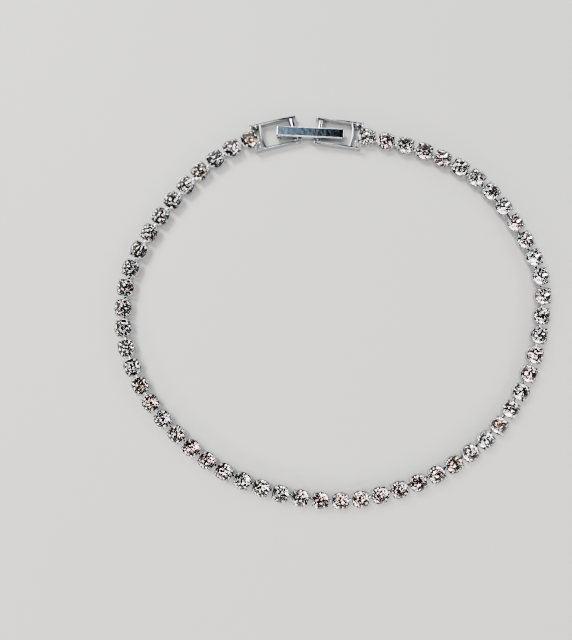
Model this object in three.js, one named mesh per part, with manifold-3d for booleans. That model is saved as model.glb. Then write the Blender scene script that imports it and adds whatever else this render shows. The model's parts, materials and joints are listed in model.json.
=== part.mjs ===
// A tennis bracelet lying flat in its closed loop: round brilliant stones in
// four-claw cups, joined by short flat links, and a fold-over clasp.
// Millimetres, +Z up. The origin is on the surface below the middle of the
// loop, the clasp is at +Y, and its lid opens away from +X.

import * as THREE from 'three';
import { mergeVertices } from 'three/addons/utils/BufferGeometryUtils.js';
import { ConvexGeometry } from 'three/addons/geometries/ConvexGeometry.js';
import Module from 'manifold-3d';

const wasm = await Module();
wasm.setup();

// Chain: the cups, their stones and the links between them
const stonePitch = 2.9;
const cupBaseRadius = 1.02;
const cupRimRadius = 1.29;
const cupHeight = 1.25;
const girdleRadius = 1.14;
const starRadius = 0.92;
const tableRadius = 0.66;
const crownHeight = 0.58;
const clawTurn = 40;
const clawReach = 1.42;
const clawFootRadius = 1.2;
const clawHalfTurn = 9;
const clawTipRadius = 0.98;
const clawRise = 0.35;
const linkWidth = 0.42;
const linkThickness = 0.28;
const linkHeight = 0.31;
const linkSlotClearance = 0.1;

// Loop: its width and depth through the cups' centres. The centres follow the
// route, in shares of that width and depth, from the clasp's left end round to
// its right end.
const loopWidth = 60.8;
const loopDepth = 52.9;
const chainRoute = [
  [-0.2023, 0.4707],
  [-0.2484, 0.4442],
  [-0.3224, 0.3790],
  [-0.4169, 0.2533],
  [-0.4868, 0.1049],
  [-0.5008, -0.0539],
  [-0.4581, -0.2089],
  [-0.3717, -0.3393],
  [-0.2582, -0.4405],
  [-0.1258, -0.4991],
  [0.0164, -0.5189],
  [0.1562, -0.4877],
  [0.2837, -0.4216],
  [0.3939, -0.3138],
  [0.4655, -0.1758],
  [0.4992, -0.0142],
  [0.4975, 0.0936],
  [0.4367, 0.2420],
  [0.3438, 0.3667],
  [0.2163, 0.4414],
  [0.0783, 0.4802],
];

// Clasp frames: bent strip with two rails, a bowed end wall and claws
const frameWidth = 3.86;
const railThickness = 0.26;
const railHeight = 1.25;
const frameTail = 1.4;
const pinReach = 4.85;
const railTip = 0.75;
const wallBow = 0.25;
const wallDistanceLeft = 1.72;
const wallDistanceRight = 2.09;
const frameTurnLeft = 13.9;
const frameTurnRight = 172.8;
const frameClawWidth = 0.36;
const frameClawSpacing = 0.72;
const frameClawTip = 0.95;
const frameClawThickness = 0.24;
const lipReach = 0.4;
const lipHeight = 0.4;

// Cross pins: the bars that the clasp folds round
const pinRadius = 0.45;
const pinHeight = 0.7;
const neckRadius = 0.25;
const pinHeadRadius = 0.42;
const pinHeadThickness = 0.14;
const fitClearance = 0.06;
const pinSides = 12;

// Tongue: the inner leaf, rolled round the right pin and hinged to the lid
const tongueWidth = 0.9;
const tongueThickness = 0.15;
const tongueLift = 0.03;
const barrelClearance = 0.1;
const barrelWall = 0.12;
const barrelSides = 16;

// Lid: an upturned channel that folds down over both pins
const lidWidth = 1.45;
const lidWall = 0.2;
const lidTurn = -2.1;
const lidShiftAlong = 0.53;
const lidShiftAcross = -0.55;
const lidLeftReach = 2.67;
const lidRightReach = 3.66;
const lidGap = 0.05;
const flangeBottom = 0.42;
const lidCornerRadius = 0.35;
const lidEdgeRadius = 0.2;
const notchClearance = 0.1;
const notchExitAngle = 22;

// Knuckle between the tongue and the lid
const hingeHeight = 0.68;
const hingePinRadius = 0.2;
const knuckleRadius = 0.4;
const hingeHeadRadius = 0.3;
const hingeHeadThickness = 0.1;

// Colours and finishes
const plated = { color: 0xc9ccd1, roughness: 0.22, metalness: 1 };
const polished = { color: 0xb9c4d0, roughness: 0.12, metalness: 1 };
const setStone = { color: 0xe6e7ea, roughness: 0.1, metalness: 0.6 };

const degrees = THREE.MathUtils.degToRad;
const halfTurn = 180;
const facetSides = 8;
const rimSides = 2 * facetSides;

// Closed geometry to a solid that can be joined and cut
function solid(geometry) {
  const bare = geometry.clone();
  bare.deleteAttribute('normal');
  bare.deleteAttribute('uv');
  const merged = mergeVertices(bare, 1e-5);
  return new wasm.Manifold(new wasm.Mesh({
    numProp: 3,
    vertProperties: Float32Array.from(merged.attributes.position.array),
    triVerts: Uint32Array.from(merged.index.array),
  }));
}

// The solid back as a named mesh
function meshOf(name, shape, finish) {
  const { vertProperties, triVerts, numProp } = shape.getMesh();
  const geometry = new THREE.BufferGeometry();
  const count = vertProperties.length / numProp;
  const positions = new Float32Array(count * 3);
  for (let i = 0; i < count; i++) {
    positions.set(vertProperties.subarray(i * numProp, i * numProp + 3), i * 3);
  }
  geometry.setAttribute('position', new THREE.BufferAttribute(positions, 3));
  geometry.setIndex(new THREE.BufferAttribute(Uint32Array.from(triVerts), 1));
  geometry.computeVertexNormals();
  const mesh = new THREE.Mesh(geometry, new THREE.MeshStandardMaterial(finish));
  mesh.name = name;
  return mesh;
}

function join(shapes) {
  return shapes.reduce((whole, next) => whole.add(next));
}

// Points evenly round the Z axis
function ring(sides, radius, height, turn = 0) {
  return Array.from({ length: sides }, (_, i) => {
    const angle = degrees(turn) + (i * 2 * Math.PI) / sides;
    return new THREE.Vector3(radius * Math.cos(angle), radius * Math.sin(angle), height);
  });
}

function hull(points) {
  return solid(new ConvexGeometry(points));
}

// A box from its lowest to its highest corner
function block(low, high) {
  const size = high.map((value, axis) => value - low[axis]);
  const middle = high.map((value, axis) => (value + low[axis]) / 2);
  return solid(new THREE.BoxGeometry(...size).translate(...middle));
}

// A rod along Y, centred on (x, z)
function rod(radius, length, x, z, sides) {
  return solid(new THREE.CylinderGeometry(radius, radius, length, sides).translate(x, 0, z));
}

// An outline in X and Z, drawn out along Y and centred on it
function sidePlate(shape, width) {
  const geometry = new THREE.ExtrudeGeometry(shape, { depth: width, bevelEnabled: false, curveSegments: 4 });
  return solid(geometry.rotateX(Math.PI / 2).translate(0, width / 2, 0));
}

// One cup with its stone, where the chain runs along X: a round cup with four
// corners, whose claws reach over the stone
function cupAndStone() {
  const corners = [clawTurn, halfTurn - clawTurn, halfTurn + clawTurn, -clawTurn];
  const cup = hull([
    ...ring(facetSides, cupBaseRadius, 0, halfTurn / facetSides),
    ...ring(rimSides, cupRimRadius, cupHeight, halfTurn / rimSides),
    ...corners.flatMap((turn) => ring(1, clawReach, cupHeight, turn)),
  ]);
  return join([cup, stoneCrown(), ...corners.map((turn) => cupClaw(turn))]);
}

// A brilliant's crown: table, eight stars, eight kites and sixteen halves
function stoneCrown() {
  const kiteSlope = crownHeight / (girdleRadius - tableRadius);
  const starInset = starRadius * Math.cos(Math.PI / facetSides) - tableRadius;
  const starHeight = crownHeight - kiteSlope * starInset;
  return hull([
    ...ring(rimSides, girdleRadius, cupHeight),
    ...ring(facetSides, starRadius, cupHeight + starHeight, halfTurn / facetSides),
    ...ring(facetSides, tableRadius, cupHeight + crownHeight),
  ]);
}

// A claw on the cup's corner, bent over the edge of the stone
function cupClaw(turn) {
  return hull([
    ...ring(1, clawReach, cupHeight, turn),
    ...ring(1, clawFootRadius, cupHeight, turn - clawHalfTurn),
    ...ring(1, clawFootRadius, cupHeight, turn + clawHalfTurn),
    ...ring(1, clawTipRadius, cupHeight + clawRise, turn),
  ]);
}

// A flat bar from one cup's middle towards another's
function link(from, to, reach, clearance = 0) {
  const run = new THREE.Vector2().subVectors(to, from);
  const half = linkWidth / 2 + clearance;
  const bar = block([0, -half, linkHeight - clearance],
    [reach, half, linkHeight + linkThickness + clearance]);
  return bar.rotate([0, 0, THREE.MathUtils.radToDeg(run.angle())]).translate([from.x, from.y, 0]);
}

// The cups' centres, evenly spaced along the route
const route = new THREE.CatmullRomCurve3(
  chainRoute.map(([x, y]) => new THREE.Vector3(x * loopWidth, y * loopDepth, 0)),
);
const gapCount = Math.round(route.getLength() / stonePitch);
const centres = route.getSpacedPoints(gapCount).map((point) => new THREE.Vector2(point.x, point.y));

// Cups from first to last, each turned along the chain, with the links between
function chainStretch(first, last) {
  const unit = cupAndStone();
  const pieces = [];
  for (let i = first; i <= last; i++) {
    const before = centres[Math.max(i - 1, 0)];
    const after = centres[Math.min(i + 1, centres.length - 1)];
    const heading = THREE.MathUtils.radToDeg(new THREE.Vector2().subVectors(after, before).angle());
    pieces.push(unit.rotate([0, 0, heading]).translate([centres[i].x, centres[i].y, 0]));
    if (i < last) {
      pieces.push(link(centres[i], centres[i + 1], centres[i].distanceTo(centres[i + 1])));
    }
  }
  return join(pieces);
}

// The two stretches meet where the left one's last link enters a slot in the
// right one's first cup
const middle = Math.floor(gapCount / 2);
const meetingGap = centres[middle].distanceTo(centres[middle + 1]);
const linkEnd = meetingGap - cupBaseRadius + linkSlotClearance;
const leftChain = chainStretch(0, middle)
  .add(link(centres[middle], centres[middle + 1], linkEnd));
const rightChain = chainStretch(middle + 1, gapCount)
  .subtract(link(centres[middle], centres[middle + 1], linkEnd + linkSlotClearance, linkSlotClearance));

// A clasp frame, with the middle of its end wall at the origin and its pin at +X
function claspFrame() {
  const outer = frameWidth / 2;
  const inner = outer - railThickness;
  const rails = [-1, 1].map((side) => block(
    [-frameTail, Math.min(side * outer, side * inner), 0],
    [pinReach + railTip, Math.max(side * outer, side * inner), railHeight],
  ));
  const lips = [-1, 1].map((side) => block(
    [-frameTail, Math.min(side * (inner - lipReach), side * (inner + railThickness / 2)), 0],
    [-railThickness, Math.max(side * (inner - lipReach), side * (inner + railThickness / 2)), lipHeight],
  ));
  const claws = [-1, 1].flatMap((side) => [0, frameClawSpacing].map((along) => frameClaw(side, along)));
  const hole = rod(neckRadius + fitClearance, 2 * frameWidth, pinReach, pinHeight, pinSides);
  return join([...rails, endWall(inner + railThickness / 2), ...lips, ...claws]).subtract(hole);
}

// The end wall, bowed towards the end cup
function endWall(halfSpan) {
  const bend = new THREE.QuadraticBezierCurve(
    new THREE.Vector2(wallBow, -halfSpan),
    new THREE.Vector2(-wallBow, 0),
    new THREE.Vector2(wallBow, halfSpan),
  );
  const line = bend.getPoints(facetSides);
  const half = railThickness / 2;
  const outline = [
    ...line.map((point) => new THREE.Vector2(point.x - half, point.y)),
    ...line.reverse().map((point) => new THREE.Vector2(point.x + half, point.y)),
  ];
  const wall = new THREE.ExtrudeGeometry(new THREE.Shape(outline), { depth: railHeight, bevelEnabled: false });
  return solid(wall);
}

// A claw that rises from the rail and bends in above the end cup's own claws
function frameClaw(side, along) {
  const outer = frameWidth / 2;
  const inner = outer - railThickness;
  const under = cupHeight + clawRise + notchClearance;
  const over = under + frameClawThickness;
  const profile = new THREE.Shape([
    [outer, railHeight - railThickness],
    [outer, under],
    [inner, over],
    [frameClawTip + railThickness, over],
    [frameClawTip, under],
    [inner - fitClearance, under],
    [inner, under - railThickness],
    [inner, railHeight - railThickness],
  ].map(([across, height]) => new THREE.Vector2(across, height)));
  const claw = sidePlate(profile, frameClawWidth).rotate([0, 0, side * 90]);
  return claw.translate([along - frameTail + frameClawWidth / 2, 0, 0]);
}

// A rivet along Y: a thick middle between two necks and two heads
function rivet(middleRadius, middleLength, neck, headRadius, headThickness, outside) {
  const half = middleLength / 2;
  const profile = [
    [0, -outside - headThickness],
    [headRadius, -outside - headThickness],
    [headRadius, -outside],
    [neck, -outside],
    [neck, -half],
    [middleRadius, -half],
    [middleRadius, half],
    [neck, half],
    [neck, outside],
    [headRadius, outside],
    [headRadius, outside + headThickness],
    [0, outside + headThickness],
  ].map(([radius, height]) => new THREE.Vector2(radius, height));
  return solid(new THREE.LatheGeometry(profile, pinSides));
}

function crossPin() {
  const inner = frameWidth / 2 - railThickness;
  return rivet(pinRadius, 2 * (inner - fitClearance), neckRadius,
    pinHeadRadius, pinHeadThickness, frameWidth / 2 + fitClearance);
}

function hingePin() {
  const length = lidWidth + 2 * fitClearance;
  const heads = [-1, 1].map((side) => solid(new THREE.CylinderGeometry(
    hingeHeadRadius, hingeHeadRadius, hingeHeadThickness, pinSides,
  ).translate(0, (side * (length + hingeHeadThickness)) / 2, 0)));
  return join([rod(hingePinRadius, length + hingeHeadThickness, 0, 0, pinSides), ...heads]);
}

// Where the frames, pins, tongue and lid lie on the plan
function frameOrigin(cup, turn, distance) {
  return new THREE.Vector2(cup.x + distance * Math.cos(degrees(turn)), cup.y + distance * Math.sin(degrees(turn)));
}

const leftFrameAt = frameOrigin(centres[0], frameTurnLeft, wallDistanceLeft);
const rightFrameAt = frameOrigin(centres[gapCount], frameTurnRight, wallDistanceRight);
const leftPinAt = frameOrigin(leftFrameAt, frameTurnLeft, pinReach);
const rightPinAt = frameOrigin(rightFrameAt, frameTurnRight, pinReach);
const lidMiddle = new THREE.Vector2().addVectors(leftPinAt, rightPinAt).multiplyScalar(0.5)
  .add(new THREE.Vector2(lidShiftAlong, lidShiftAcross));

// A point on the plan in the lid's own frame, before its hinge is placed
function alongLid(point) {
  return point.clone().sub(lidMiddle).rotateAround(new THREE.Vector2(), degrees(-lidTurn));
}

// Where a pin's middle line crosses the lid's middle line, and its slant to it
function crossing(pinAt, frameTurn) {
  const local = alongLid(pinAt);
  const slant = degrees(frameTurn - lidTurn);
  return { x: local.x + local.y * Math.tan(slant), slant: THREE.MathUtils.radToDeg(slant) };
}

const leftCrossing = crossing(leftPinAt, frameTurnLeft);
const rightCrossing = crossing(rightPinAt, frameTurnRight);
const hingeX = leftCrossing.x - lidLeftReach + knuckleRadius;
const hingeAt = new THREE.Vector2(hingeX, 0).rotateAround(new THREE.Vector2(), degrees(lidTurn)).add(lidMiddle);
const leftPinX = leftCrossing.x - hingeX;
const rightPinX = rightCrossing.x - hingeX;

// The inner leaf: a strip under the left pin, with a barrel at each end
function claspTongue() {
  const bore = pinRadius + barrelClearance;
  const half = tongueWidth / 2;
  const top = tongueLift + tongueThickness;
  const strip = block([-hingePinRadius, -half, tongueLift], [rightPinX, half, top]);
  const riser = block([-hingePinRadius, -half, tongueLift], [hingePinRadius, half, hingeHeight]);
  const knuckle = rod(knuckleRadius, tongueWidth, 0, hingeHeight, barrelSides);
  const barrel = rod(bore + barrelWall, tongueWidth, rightPinX, pinHeight, barrelSides);
  return join([strip, riser, knuckle, barrel])
    .subtract(rod(bore, 2 * tongueWidth, rightPinX, pinHeight, barrelSides))
    .subtract(rod(hingePinRadius + fitClearance, 2 * tongueWidth, 0, hingeHeight, pinSides));
}

// The lid: plate and flanges in one, with its hinge at the origin of X
function claspLid() {
  const under = pinHeight + pinRadius + barrelClearance + barrelWall + lidGap;
  const top = under + lidWall;
  const left = -knuckleRadius;
  const right = rightPinX + lidRightReach;
  const half = lidWidth / 2;
  const side = new THREE.Shape();
  side.moveTo(left + lidEdgeRadius, top);
  side.quadraticCurveTo(left, top, left, top - lidEdgeRadius);
  side.lineTo(left, hingeHeight);
  side.absarc(0, hingeHeight, knuckleRadius, Math.PI, 1.5 * Math.PI, false);
  side.lineTo(knuckleRadius, flangeBottom);
  side.lineTo(right - lidEdgeRadius, flangeBottom);
  side.quadraticCurveTo(right, flangeBottom, right, flangeBottom + lidEdgeRadius);
  side.lineTo(right, top - lidEdgeRadius);
  side.quadraticCurveTo(right, top, right - lidEdgeRadius, top);
  const plan = new THREE.Shape();
  plan.moveTo(left, -half);
  plan.lineTo(right - lidCornerRadius, -half);
  plan.quadraticCurveTo(right, -half, right, lidCornerRadius - half);
  plan.lineTo(right, half - lidCornerRadius);
  plan.quadraticCurveTo(right, half, right - lidCornerRadius, half);
  plan.lineTo(left, half);
  const trim = solid(new THREE.ExtrudeGeometry(plan, { depth: top, bevelEnabled: false, curveSegments: 4 }));
  const channel = block([left - lidWall, lidWall - half, -top], [right - lidCornerRadius, half - lidWall, under]);
  return sidePlate(side, lidWidth).intersect(trim)
    .subtract(channel)
    .subtract(rod(hingePinRadius + fitClearance, 2 * lidWidth, 0, hingeHeight, pinSides))
    .subtract(pinNotch(leftPinX, leftCrossing.slant))
    .subtract(pinNotch(rightPinX, rightCrossing.slant));
}

// The space that a pin sweeps in the lid's flanges as the lid lifts off it
function pinNotch(x, slant) {
  const cutter = new THREE.CylinderGeometry(pinRadius + notchClearance, pinRadius + notchClearance,
    frameWidth, pinSides);
  cutter.rotateZ(degrees(slant)).translate(x, 0, pinHeight - hingeHeight);
  const lifted = cutter.clone().rotateY(degrees(Math.min(notchExitAngle, notchExitAngle * leftPinX / x)));
  const points = [cutter, lifted].flatMap((geometry) => {
    const place = geometry.attributes.position;
    return Array.from({ length: place.count }, (_, i) => new THREE.Vector3().fromBufferAttribute(place, i));
  });
  return solid(new ConvexGeometry(points).translate(0, 0, hingeHeight));
}

// The scene graph
const bracelet = new THREE.Group();
bracelet.add(meshOf('stone_chain_left', leftChain, setStone));
bracelet.add(meshOf('stone_chain_right', rightChain, setStone));

function frameGroup(side, at, turn) {
  const group = new THREE.Group();
  group.position.set(at.x, at.y, 0);
  group.rotation.z = degrees(turn);
  const pin = meshOf(`cross_pin_${side}`, crossPin(), plated);
  pin.position.set(pinReach, 0, pinHeight);
  group.add(meshOf(`clasp_frame_${side}`, claspFrame(), plated), pin);
  return group;
}

bracelet.add(frameGroup('left', leftFrameAt, frameTurnLeft));
bracelet.add(frameGroup('right', rightFrameAt, frameTurnRight));

const foldOver = new THREE.Group();
foldOver.position.set(hingeAt.x, hingeAt.y, 0);
foldOver.rotation.z = degrees(lidTurn);
const pivot = meshOf('lid_hinge_pin', hingePin(), plated);
pivot.position.z = hingeHeight;
foldOver.add(meshOf('clasp_tongue', claspTongue(), plated), meshOf('clasp_lid', claspLid(), polished), pivot);
bracelet.add(foldOver);

export default bracelet;
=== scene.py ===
# A tennis bracelet lying closed: round brilliants set in four-claw cups,
# joined by short flat links, with a fold-over clasp at the back. The packed
# model is the fixed frame, and every piece here is worked out around it.

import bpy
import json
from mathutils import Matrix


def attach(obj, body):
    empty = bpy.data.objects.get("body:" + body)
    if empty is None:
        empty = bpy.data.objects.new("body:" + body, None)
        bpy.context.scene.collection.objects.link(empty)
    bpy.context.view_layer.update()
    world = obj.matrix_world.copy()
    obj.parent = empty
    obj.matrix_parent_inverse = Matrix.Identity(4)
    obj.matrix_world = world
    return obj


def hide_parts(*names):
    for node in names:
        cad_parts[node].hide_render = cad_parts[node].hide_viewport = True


bl_info = {
    "name": "Tennis Bracelet",
    "version": (1, 0, 0),
    "blender": (4, 5, 0),
    "location": "3D View > Sidebar > Bracelet",
    "description": "Dresses a packed tennis bracelet in stones, cups, links and a clasp",
    "category": "Add Mesh",
}

import json
import math

import bmesh
import bpy
import numpy as np
from mathutils import Vector

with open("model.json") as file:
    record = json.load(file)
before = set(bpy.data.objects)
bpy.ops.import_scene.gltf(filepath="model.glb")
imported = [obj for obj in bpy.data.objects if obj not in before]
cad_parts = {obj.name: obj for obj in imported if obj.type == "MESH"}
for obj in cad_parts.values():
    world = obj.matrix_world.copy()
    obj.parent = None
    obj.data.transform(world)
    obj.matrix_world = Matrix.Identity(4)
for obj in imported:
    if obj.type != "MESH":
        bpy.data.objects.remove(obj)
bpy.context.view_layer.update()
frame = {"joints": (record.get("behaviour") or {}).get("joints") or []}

MM = 0.001
FULL_TURN = 2 * np.pi
IMAGE_HEIGHT = 640
HINGE = frame["joints"][0]

# The loop's route in shares of its width and depth, as in the part's source
CHAIN_ROUTE = np.array([
    (-0.2023, 0.4707), (-0.2484, 0.4442), (-0.3224, 0.3790), (-0.4169, 0.2533),
    (-0.4868, 0.1049), (-0.5008, -0.0539), (-0.4581, -0.2089), (-0.3717, -0.3393),
    (-0.2582, -0.4405), (-0.1258, -0.4991), (0.0164, -0.5189), (0.1562, -0.4877),
    (0.2837, -0.4216), (0.3939, -0.3138), (0.4655, -0.1758), (0.4992, -0.0142),
    (0.4975, 0.0936), (0.4367, 0.2420), (0.3438, 0.3667), (0.2163, 0.4414),
    (0.0783, 0.4802),
])
ROUTE_STEPS = 200


def linear(code):
    """A hex colour as linear red, green and blue."""
    shares = np.array([int(code[i:i + 2], 16) for i in (1, 3, 5)]) / 255
    low = shares / 12.92
    high = ((shares + 0.055) / 1.055) ** 2.4
    return tuple(float(share) for share in np.where(shares <= 0.04045, low, high))


def length(name, description, value):
    """A length property whose default is given in millimetres."""
    return bpy.props.FloatProperty(
        name=name, description=description, default=value * MM, unit="LENGTH", precision=5)


def angle(name, description, value):
    """An angle property whose default is given in degrees."""
    return bpy.props.FloatProperty(
        name=name, description=description, default=math.radians(value), subtype="ANGLE")


def colour(name, description, code):
    """A colour property whose default is a hex colour."""
    return bpy.props.FloatVectorProperty(
        name=name, description=description, default=linear(code), subtype="COLOR", size=3)


class BraceletChain(bpy.types.PropertyGroup):
    """Sizes of the chain: the loop, its stones, cups and links."""

    loop_width: length("Loop width", "Width of the route through the cups' centres", 60.8)
    loop_depth: length("Loop depth", "Depth of the route through the cups' centres", 52.9)
    pitch: length("Pitch", "Distance from one stone to the next", 2.9)
    girdle_radius: length("Girdle radius", "Widest radius of a stone", 1.14)
    star_radius: length("Star radius", "Radius of the points between stars and kites", 0.92)
    table_radius: length("Table radius", "Radius of the flat top of a stone", 0.66)
    crown_height: length("Crown height", "Height of the table over the girdle", 0.58)
    girdle_depth: length("Girdle depth", "Height of the upright band round a stone", 0.05)
    pavilion_depth: length("Pavilion depth", "Depth of the stone's cone below the girdle", 0.96)
    cup_height: length("Cup height", "Height of the girdle and the cup's corners", 1.25)
    base_radius: length("Cup base radius", "Radius of the cup's flat bottom", 1.02)
    rim_radius: length("Cup rim radius", "Radius of the cup's upper edge", 1.29)
    corner_radius: length("Cup corner radius", "Reach of the cup's corners under the claws", 1.38)
    rim_dip: length("Rim dip", "Depth of the scallops between the claws", 0.12)
    sheet: length("Cup sheet", "Thickness of the cup's sheet metal", 0.1)
    claw_turn: angle("Claw turn", "Angle of the claws from the chain's direction", 40)
    link_width: length("Link width", "Width of the flat links", 0.42)
    link_thickness: length("Link thickness", "Thickness of the flat links", 0.28)
    link_height: length("Link height", "Height of the links' undersides", 0.31)


class BraceletClasp(bpy.types.PropertyGroup):
    """Sizes of the clasp: its frames, pins, inner leaf and lid."""

    frame_width: length("Frame width", "Width of a clasp frame over its rails", 3.86)
    rail_thickness: length("Rail thickness", "Thickness of the frame's strip", 0.26)
    rail_height: length("Rail height", "Height of the frame's strip", 1.25)
    frame_tail: length("Frame tail", "Reach of the rails past the end wall", 1.4)
    pin_reach: length("Pin reach", "Distance of the pin from the end wall", 4.85)
    rail_tip: length("Rail tip", "Reach of the rails past the pin", 0.75)
    wall_bow: length("Wall bow", "Bow of the end wall towards the end cup", 0.25)
    left_distance: length("Left distance", "Left end wall from its end cup's centre", 1.72)
    right_distance: length("Right distance", "Right end wall from its end cup's centre", 2.09)
    left_turn: angle("Left turn", "Turn of the left frame on the plan", 13.9)
    right_turn: angle("Right turn", "Turn of the right frame on the plan", 172.8)
    claw_width: length("Claw width", "Width of a frame claw", 0.36)
    claw_spacing: length("Claw spacing", "Distance between the two claws of a rail", 0.72)
    claw_tip: length("Claw tip", "Distance of the claws' tips from the frame's middle", 0.95)
    pin_radius: length("Pin radius", "Radius of the cross pins", 0.45)
    pin_height: length("Pin height", "Height of the cross pins' middle line", 0.7)
    pin_head: length("Pin head radius", "Radius of the rivet heads", 0.42)
    leaf_width: length("Leaf width", "Width of the inner leaf", 0.9)
    leaf_thickness: length("Leaf thickness", "Thickness of the inner leaf", 0.14)
    lid_width: length("Lid width", "Width of the lid", 1.45)
    lid_wall: length("Lid wall", "Thickness of the lid's sheet metal", 0.2)
    lid_top: length("Lid top", "Height of the lid's upper face", 1.62)
    lid_bottom: length("Lid bottom", "Height of the flanges' lower edges", 0.42)
    lid_reach: length("Lid reach", "Reach of the lid past the right pin", 3.66)
    hinge_pin: length("Hinge pin radius", "Radius of the pin through the knuckle", 0.2)
    knuckle: length("Knuckle radius", "Outer radius of the knuckle at the hinge", 0.4)


class BraceletFinish(bpy.types.PropertyGroup):
    """Colours of the metals, the stones and the stage."""

    plating: colour("Plating", "Light tone of the plated metal", "#CCCDCF")
    plating_shade: colour("Plating shade", "Darker tone of the plated metal", "#A0A3A7")
    polish: colour("Polish", "Tone of the lid's polished metal", "#D3DAE2")
    foil: colour("Foil", "Tone of the foil behind the stones", "#F1EFEF")
    foil_blush: colour("Foil blush", "Warm tone that some of the foil has", "#EBD6D0")
    glass: colour("Glass", "Tone of the stones' glass", "#FFFFFF")
    glass_warm: colour("Warm glass", "Tone of the warmer end stone", "#FFFAEA")
    floor: colour("Floor", "Tone of the floor", "#D0CECB")


class Shape:
    """Points in metres and faces of four point numbers, where -1 ends a triangle."""

    def __init__(self, points, faces, finish=0):
        self.points = np.asarray(points, float).reshape(-1, 3)
        self.faces = np.asarray(faces, int).reshape(-1, 4)
        self.finish = np.broadcast_to(finish, len(self.faces))

    def moved(self, rotation=np.eye(3), place=(0, 0, 0)):
        """The shape turned by a 3 by 3 matrix, then shifted."""
        return Shape(self.points @ np.asarray(rotation).T + place, self.faces, self.finish)


def joined(shapes):
    """Several shapes as one, with the later ones' point numbers moved up."""
    starts = np.cumsum([0] + [len(shape.points) for shape in shapes[:-1]])
    faces = [np.where(shape.faces < 0, -1, shape.faces + start)
             for shape, start in zip(shapes, starts)]
    return Shape(np.concatenate([shape.points for shape in shapes]), np.concatenate(faces),
                 np.concatenate([shape.finish for shape in shapes]))


def about_z(turns):
    """Matrices that turn about Z: rows (cos, -sin, 0), (sin, cos, 0), (0, 0, 1)."""
    turns = np.asarray(turns, float)
    zero, one = np.zeros_like(turns), np.ones_like(turns)
    rows = [np.cos(turns), -np.sin(turns), zero, np.sin(turns), np.cos(turns), zero, zero, zero, one]
    return np.stack(rows, -1).reshape(turns.shape + (3, 3))


def repeated(shape, rotations, places):
    """A shape at each place: turned by that place's matrix, then shifted there."""
    count = len(places)
    points = np.einsum("kij,nj->kni", rotations, shape.points) + places[:, None, :]
    starts = (np.arange(count) * len(shape.points))[:, None, None]
    faces = np.where(shape.faces[None] < 0, -1, shape.faces[None] + starts)
    return Shape(points, faces, np.tile(shape.finish, count))


def faces_of(*columns):
    """Faces from columns of point numbers, with -1 added to end a triangle."""
    columns = np.broadcast_arrays(*columns, *[-1] * (4 - len(columns)))
    return np.stack(columns, -1).reshape(-1, 4)


def skin(rings, close_ends=True):
    """Quads between rings of points, with a fan to each end ring's middle if closed."""
    count, around = rings.shape[:2]
    rows = np.arange(count - 1)[:, None] * around
    column = np.arange(around)
    beside = (column + 1) % around
    above = rows + around
    faces = faces_of(rows + column, rows + beside, above + beside, above + column)
    points = rings.reshape(-1, 3)
    if close_ends:
        last, middle = (count - 1) * around, count * around
        faces = np.concatenate([faces, faces_of(middle, beside, column),
                                faces_of(middle + 1, last + column, last + beside)])
        points = np.concatenate([points, [rings[0].mean(0), rings[-1].mean(0)]])
    return Shape(points, faces)


def rounded_rings(sizes, radius, corner_points=4):
    """Rectangles with rounded corners: corner centre plus a quarter circle, in turn.
    The radius stays just under half the shorter side."""
    sizes = np.asarray(sizes, float)
    under_half = 0.499
    radii = np.minimum(radius, under_half * sizes.min(-1))[:, None, None]
    turns = (np.arange(4)[:, None] + np.linspace(0, 1, corner_points)).ravel() * np.pi / 2
    corners = np.repeat([(1, 1), (-1, 1), (-1, -1), (1, -1)], corner_points, axis=0)
    circle = np.stack([np.cos(turns), np.sin(turns)], -1)
    return corners * (sizes[:, None, :] / 2 - radii) + radii * circle


def bar(path, across, sizes, radius, soft, corner_points=4, end_rings=3):
    """A rounded rectangle carried along a path: point = path + u * across + v * normal,
    where the normal is square to the path and to across. Both ends shrink like a
    quarter circle over the soft length."""
    path = np.asarray(path, float)
    sizes = np.broadcast_to(np.asarray(sizes, float), (len(path), 2))
    steps = np.linspace(0, np.pi / 2, end_rings + 1)[:-1]
    inset = soft * (1 - np.sin(steps))[:, None]
    ahead = soft * (1 - np.cos(steps))[:, None]
    first = path[1] - path[0]
    first /= np.linalg.norm(first)
    last = path[-1] - path[-2]
    last /= np.linalg.norm(last)
    inner = path.copy()
    inner[0] += soft * first
    inner[-1] -= soft * last
    full = np.concatenate([path[0] + ahead * first, inner, (path[-1] - ahead * last)[::-1]])
    scale = np.concatenate([sizes[0] - 2 * inset, sizes, (sizes[-1] - 2 * inset)[::-1]])
    tangent = np.gradient(full, axis=0)
    tangent /= np.linalg.norm(tangent, axis=1, keepdims=True)
    normal = np.cross(tangent, across)
    normal /= np.linalg.norm(normal, axis=1, keepdims=True)
    thinnest = 0.02 * MM
    rings = rounded_rings(np.maximum(scale, thinnest), radius, corner_points)
    points = full[:, None] + rings[..., :1] * np.asarray(across, float) + rings[..., 1:] * normal[:, None]
    return skin(points)


def plate(outline, thickness, bevel, bevel_rings=4):
    """A flat plate: its outline in X and Z, drawn out along Y, with the outline
    pulled in like a quarter circle at both faces."""
    outline = np.asarray(outline, float)
    tangent = np.roll(outline, -1, 0) - np.roll(outline, 1, 0)
    tangent /= np.linalg.norm(tangent, axis=1, keepdims=True)
    outward = np.stack([tangent[:, 1], -tangent[:, 0]], -1)
    steps = np.linspace(0, np.pi / 2, bevel_rings)
    inset = bevel * (1 - np.sin(steps))
    depth = thickness / 2 - bevel * (1 - np.cos(steps))
    inset = np.concatenate([inset, inset[::-1]])
    depth = np.concatenate([-depth, depth[::-1]])
    flat = outline[None] - inset[:, None, None] * outward[None]
    rings = np.stack([flat[..., 0], np.broadcast_to(depth[:, None], flat.shape[:2]), flat[..., 1]], -1)
    return skin(rings)


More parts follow.
